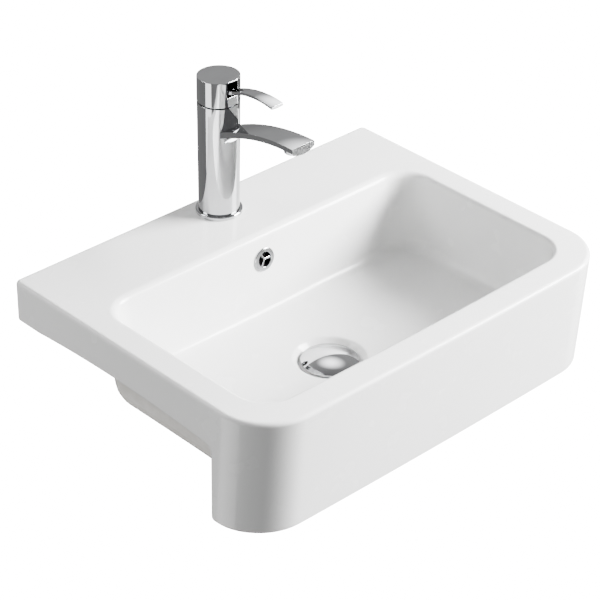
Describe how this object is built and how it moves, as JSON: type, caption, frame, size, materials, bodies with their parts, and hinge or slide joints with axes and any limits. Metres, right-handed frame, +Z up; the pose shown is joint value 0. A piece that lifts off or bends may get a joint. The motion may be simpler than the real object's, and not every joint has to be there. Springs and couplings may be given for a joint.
{
  "type": "semi-recessed wash basin",
  "caption": "Semi-recessed ceramic wash basin with a rear deck, deep front apron, overflow, single-lever mixer tap and push waste.",
  "frame": {"origin": "on the worktop plane, on the basin's centre line, under the middle of the bearing strip along the basin's back edge", "axes": "+X to the right of a person facing the basin, -Y towards that person, +Z up; the back edge faces +Y"},
  "size_m": [0.52, 0.3897, 0.3685],
  "materials": {
    "white_glaze": "white gloss glaze",
    "chrome_plate": "polished chrome plate",
    "black_rubber": "matt rubber",
    "plain_brass": "machined brass",
    "zinc_steel": "zinc plated steel",
    "spring_steel": "stainless spring wire",
    "grey_plastic": "moulded plastic",
    "white_plastic": "moulded plastic",
    "disc_ceramic": "lapped alumina"
  },
  "bodies": {
    "basin_and_tap": {"basin": "white_glaze", "overflow_trim": "chrome_plate", "spout": "chrome_plate", "aerator_housing": "chrome_plate", "aerator_insert": "white_plastic", "aerator_washer": "black_rubber", "tap_column": "chrome_plate", "tap_base_ring": "chrome_plate", "tap_base_gasket": "black_rubber", "fixing_stud": "plain_brass", "fixing_rubber": "black_rubber", "fixing_clamp": "zinc_steel", "fixing_nut": "plain_brass", "cartridge_housing": "grey_plastic", "cartridge_fixed_disc": "disc_ceramic", "cartridge_seals": "black_rubber", "cartridge_nut": "plain_brass", "waste_body": "chrome_plate", "waste_upper_seal": "black_rubber", "waste_lower_seal": "black_rubber", "waste_back_nut": "plain_brass", "click_carrier": "grey_plastic", "plug_spring": "spring_steel"},
    "handle": {"handle_cap": "chrome_plate", "cartridge_rotor": "grey_plastic", "stem_pin": "zinc_steel"},
    "lever_arm": {"lever": "chrome_plate", "lever_grub_screw": "zinc_steel", "cartridge_stem": "plain_brass"},
    "disc_slider": {"cartridge_moving_disc": "disc_ceramic"},
    "plug": {"plug_cap": "chrome_plate", "plug_spindle": "plain_brass", "plug_seal": "black_rubber"}
  },
  "joints": [
    {"name": "handle_swivel", "type": "hinge", "parent": "basin_and_tap", "child": "handle", "pos_m": [0, -0.029, 0.187], "axis": [0, 0, 1], "range_deg": [-45, 45]},
    {"name": "lever_lift", "type": "hinge", "parent": "handle", "child": "lever_arm", "pos_m": [0, -0.029, 0.185], "axis": [-1, 0, 0], "range_deg": [0, 12]},
    {"name": "disc_slide", "type": "slide", "parent": "handle", "child": "disc_slider", "axis": [0, -1, 0], "range_m": [0, 0.003]},
    {"name": "plug_slide", "type": "slide", "parent": "basin_and_tap", "child": "plug", "axis": [0, 0, 1], "range_m": [0, 0.009], "deforming": ["plug_spring"]}
  ],
  "couplings": [
    {"joint": "disc_slide", "follows": "lever_lift", "m_per_rad": 0.014}
  ]
}
